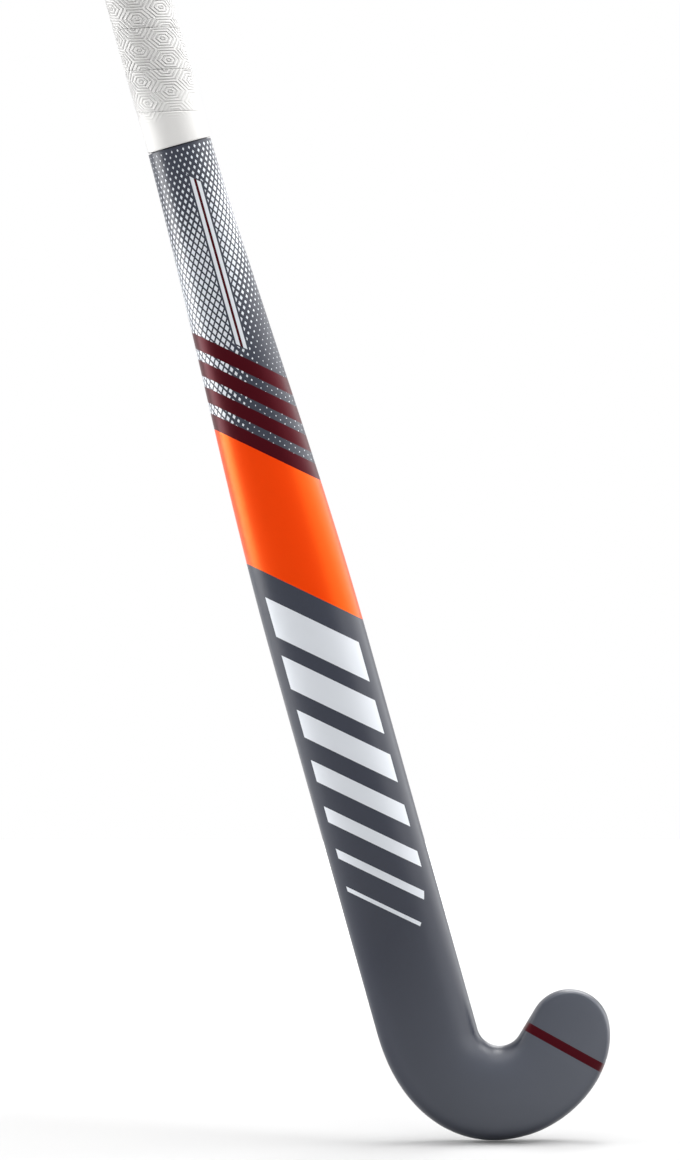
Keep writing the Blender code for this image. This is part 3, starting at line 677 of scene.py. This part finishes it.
def embossed_polyurethane():
    """White polyurethane skin, pressed with a hot die: soft, matt, with grooves along nested hexagons.

    Through each point goes a hexagon round the nearest middle. Its size is the way across the strip, or half of
    that and a share of the way along it, whichever is more. The middles lie in two staggered sets."""
    material, tree = start_material("embossed white polyurethane")
    uv = add_node(tree, "SeparateXYZ", [add_node(tree, "UVMap", uv_map="strip")])
    place = add_node(tree, "TexCoord").outputs["Object"]
    height = add_node(tree, "Math", [
        add_node(tree, "SeparateXYZ", [place]).outputs["Z"], 1 / MM, GRIP_MIDDLE], operation="MULTIPLY_ADD")
    nearest = None
    for shift in (0.0, 0.5):
        sides = []
        for name, cell in (("X", 2 * HEX_COLUMN * MM), ("Y", HEX_ROW * MM)):
            turns = add_node(tree, "Math", [uv.outputs[name], 1 / cell, shift], operation="MULTIPLY_ADD")
            share = add_node(tree, "Math", [turns], operation="FRACT")
            part = add_node(tree, "Math", [share, 0.5], operation="SUBTRACT")
            side = add_node(tree, "Math", [part], operation="ABSOLUTE")
            sides.append(add_node(tree, "Math", [side, cell / MM], operation="MULTIPLY"))
        along, across = sides
        half_across = add_node(tree, "Math", [across, 0.5], operation="MULTIPLY")
        slanted = add_node(tree, "Math", [
            along, 0.75 * HEX_ROW / HEX_COLUMN, half_across], operation="MULTIPLY_ADD")
        size = add_node(tree, "Math", [slanted, across], operation="MAXIMUM")
        nearest = size if nearest is None else add_node(tree, "Math", [nearest, size], operation="MINIMUM")
    rings_out = add_node(tree, "Math", [nearest, RING], operation="DIVIDE")
    share = add_node(tree, "Math", [rings_out], operation="FRACT")
    part = add_node(tree, "Math", [share, 0.5], operation="SUBTRACT")
    off_groove = add_node(tree, "Math", [part], operation="ABSOLUTE")
    lift = add_node(tree, "MapRange", [off_groove, *GROOVE_EDGE], interpolation_type="SMOOTHSTEP")
    strength = add_node(tree, "MapRange", [height, *EMBOSSING])
    sunk = add_node(tree, "Math", [1.0, lift], operation="SUBTRACT")
    groove = add_node(tree, "Math", [sunk, strength], operation="MULTIPLY")
    pores = add_node(tree, "TexNoise", {"Vector": place, "Scale": PORES / MM, "Detail": 2.0})
    grain = add_node(tree, "Math", [pores, PORE_SHARE], operation="MULTIPLY")
    relief = add_node(tree, "Math", [groove, -1.0, grain], operation="MULTIPLY_ADD")
    bump = add_node(tree, "Bump", {"Strength": 1.0, "Distance": GROOVE_DEPTH * MM, "Height": relief})
    # The grooves are painted darker: painted shade in the recesses of the embossing.
    colour = add_node(tree, "Mix", {
        MIX_SHARE: groove, MIX_FIRST: linear("d9d8d6"), MIX_SECOND: linear("c9c8c6")},
        data_type="RGBA").outputs[MIX_RESULT]
    shader = add_node(tree, "BsdfPrincipled", {
        "Base Color": colour, "Roughness": 0.55, "IOR": 1.5, "Specular IOR Level": 0.4, "Sheen Weight": 1.0,
        "Normal": bump})
    add_node(tree, "OutputMaterial", [shader])
    return material


def add_strip():
    """The wound strip as one closed skin. Its UV map is metres along the strip and metres across it."""
    rings, turn, upper = strip_rings()
    rows, columns = rings.shape[:2]
    ends = rings[[0, -1]].mean(axis=1)
    strip = add_surface("wound_grip", rings, ends)
    middle = np.linalg.norm(np.diff(rings[:, FACE_COLUMNS // 2], axis=0), axis=1)
    along = np.concatenate([[0.0], np.cumsum(middle)])[:, None] + 0.0 * rings[:, :, 2]
    grid = np.stack([along, upper - rings[:, :, 2]], axis=2) * MM
    grid = np.concatenate([grid, grid[:, :1]], axis=1)
    corners = np.stack([grid[:-1, :-1], grid[1:, :-1], grid[1:, 1:], grid[:-1, 1:]], axis=2).reshape(-1, 2)
    flat = np.zeros((len(strip.data.loops), 2), np.float32)
    flat[:len(corners)] = corners
    strip.data.uv_layers.new(name="strip").data.foreach_set("uv", flat.ravel())
    return strip


strip = add_strip()
strip.data.materials.append(embossed_polyurethane())
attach(strip, "root")
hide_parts("grip_tape")

# Floor
# A white studio floor that takes only the stick's soft shadow. It leans with the camera, because the
# stick is shown leaning, and it is seen from above only.

LEAN = math.radians(15.64)  # of the stick in the picture
IMAGE_UP = np.array([math.sin(LEAN), 0.0, math.cos(LEAN)])
IMAGE_RIGHT = np.array([IMAGE_UP[2], 0.0, -IMAGE_UP[0]])
AWAY = np.array([0.0, 1.0, 0.0])
FLOOR_PITCH = math.radians(8.5)
FLOOR_UP = IMAGE_UP * math.cos(FLOOR_PITCH) - AWAY * math.sin(FLOOR_PITCH)
FLOOR_HALF = 0.9            # metres
FLOOR_DROP = 0.5            # millimetres under the stick, so that the floor doesn't touch it
CARD = (0.55, 0.55, 0.55, 1.0)
GLOW_REACH, GLOW = (0.25, 0.85), (0.06, 0.85)   # metres from the contact, and how much the card glows there


def lowest_point(piece):
    """The point of a piece that is lowest against the leaning floor."""
    flat = np.zeros(len(piece.data.vertices) * 3, np.float32)
    piece.data.vertices.foreach_get("co", flat)
    points = flat.reshape(-1, 3).astype(float)
    return points[(points @ FLOOR_UP).argmin()]


def seen_directly(tree):
    """1 on camera, mirror and glass rays, which see the white of the studio, and 0 on the rays that light."""
    path = add_node(tree, "LightPath")
    camera, mirror, glass = (path.outputs["Is %s Ray" % kind] for kind in ("Camera", "Glossy", "Transmission"))
    shown = add_node(tree, "Math", [camera, mirror], operation="ADD")
    return add_node(tree, "Math", [shown, glass], operation="ADD", use_clamp=True)


def studio_floor(contact):
    """White card: it glows to the eye by as much as it takes to be white, and least where the shadow falls."""
    material, tree = start_material("white studio card")
    place = add_node(tree, "TexCoord").outputs["Object"]
    spread = add_node(tree, "VectorMath", [place, tuple(contact)], operation="DISTANCE").outputs["Value"]
    level = add_node(tree, "MapRange", [spread, *GLOW_REACH, *GLOW])
    strength = add_node(tree, "Math", [seen_directly(tree), level], operation="MULTIPLY")
    glow = add_node(tree, "Emission", {"Color": WHITE, "Strength": strength})
    card = add_node(tree, "BsdfDiffuse", {"Color": CARD})
    front = add_node(tree, "AddShader", [glow, card])
    clear = add_node(tree, "BsdfTransparent")
    below = add_node(tree, "NewGeometry").outputs["Backfacing"]
    add_node(tree, "OutputMaterial", [add_node(tree, "MixShader", [below, front, clear])])
    return material


def add_floor():
    """A square on the leaning plane just below the stick's lowest point, with that point over its middle."""
    contact = lowest_point(stick)
    depth = np.cross(FLOOR_UP, IMAGE_RIGHT)
    middle = contact - FLOOR_UP * FLOOR_DROP * MM
    signs = ((-1, -1), (1, -1), (1, 1), (-1, 1))
    corners = [middle + FLOOR_HALF * (a * IMAGE_RIGHT + b * depth) for a, b in signs]
    mesh = bpy.data.meshes.new("floor")
    mesh.from_pydata([tuple(corner) for corner in corners], [], [(0, 1, 2, 3)])
    mesh.materials.append(studio_floor(contact))
    floor = bpy.data.objects.new("floor", mesh)
    bpy.context.scene.collection.objects.link(floor)


add_floor()

# Light and camera
# Soft lamps stand right and left of the stick, so that its back is darkest along the middle; others hang above,
# in front and behind and fill in. The camera is far off, square to the back, and rolled.

DISTANCE = 8.0              # metres from the handle to the camera
FRAME_HEIGHT = 0.5667       # metres at that distance between the picture's lower and upper edge
VIEW_MIDDLE = np.array([0.0184, 0.0, -0.43005])         # metres; the point in the middle of the picture
AMBIENT = 0.05              # strength of the white room's light
SOFTBOXES = (               # bearing and elevation in degrees, distance, width and height in metres, radiance
    ("right_softbox", 104.0, 11.0, 1.6, 1.9, 1.0, 2.8),
    ("fill_softbox", 54.0, 6.0, 1.6, 0.9, 1.0, 1.8),
    ("left_softbox", -92.0, 7.0, 1.6, 1.15, 1.1, 8.4),
    ("front_softbox", -10.0, 58.0, 1.6, 2.2, 1.5, 1.75),
    ("upper_softbox", 76.0, 45.0, 1.6, 0.8, 0.8, 7.0),
    ("rear_softbox", 165.0, 33.0, 1.6, 0.86, 0.86, 4.0),
    ("top_softbox", 90.0, 84.0, 3.2, 1.4, 1.1, 12.0))


def place_facing(thing, position, forward):
    """Put a lamp or camera there, looking along forward, with its own up nearest the image's up."""
    right = np.cross(forward, IMAGE_UP)
    right = right / np.linalg.norm(right)
    up = np.cross(right, forward)
    matrix = np.eye(4)
    matrix[:3] = np.stack([right, up, -forward, position], axis=1)
    thing.matrix_world = Matrix(matrix.tolist())


def add_softbox(name, bearing, elevation, distance, width, height, radiance):
    """A rectangular lamp round the view's middle, by bearing from the camera towards image right.

    Its power is its radiance times pi times its area."""
    bearing, elevation = math.radians(bearing), math.radians(elevation)
    level = -AWAY * math.cos(bearing) + IMAGE_RIGHT * math.sin(bearing)
    direction = level * math.cos(elevation) + IMAGE_UP * math.sin(elevation)
    light = bpy.data.lights.new(name, "AREA")
    light.shape = "RECTANGLE"
    light.size, light.size_y = width, height
    light.energy = radiance * math.pi * width * height
    lamp = bpy.data.objects.new(name, light)
    bpy.context.scene.collection.objects.link(lamp)
    place_facing(lamp, VIEW_MIDDLE + distance * direction, -direction)


for name, *setting in SOFTBOXES:
    add_softbox(name, *setting)

world = bpy.data.worlds.new("studio")
bpy.context.scene.world = world
world.use_nodes = True
tree = world.node_tree
tree.nodes.clear()
ambient = add_node(tree, "Background", {"Color": WHITE, "Strength": AMBIENT})
backdrop = add_node(tree, "Background", {"Color": WHITE, "Strength": 1.0})
add_node(tree, "OutputWorld", [add_node(tree, "MixShader", [seen_directly(tree), ambient, backdrop])])

camera_data = bpy.data.cameras.new("camera")
camera_data.lens = camera_data.sensor_width * DISTANCE / FRAME_HEIGHT
camera_data.clip_end = 4 * DISTANCE
camera = bpy.data.objects.new("camera", camera_data)
bpy.context.scene.collection.objects.link(camera)
place_facing(camera, VIEW_MIDDLE - DISTANCE * AWAY, AWAY)
bpy.context.scene.camera = camera
bpy.context.scene.view_settings.view_transform = "Standard"
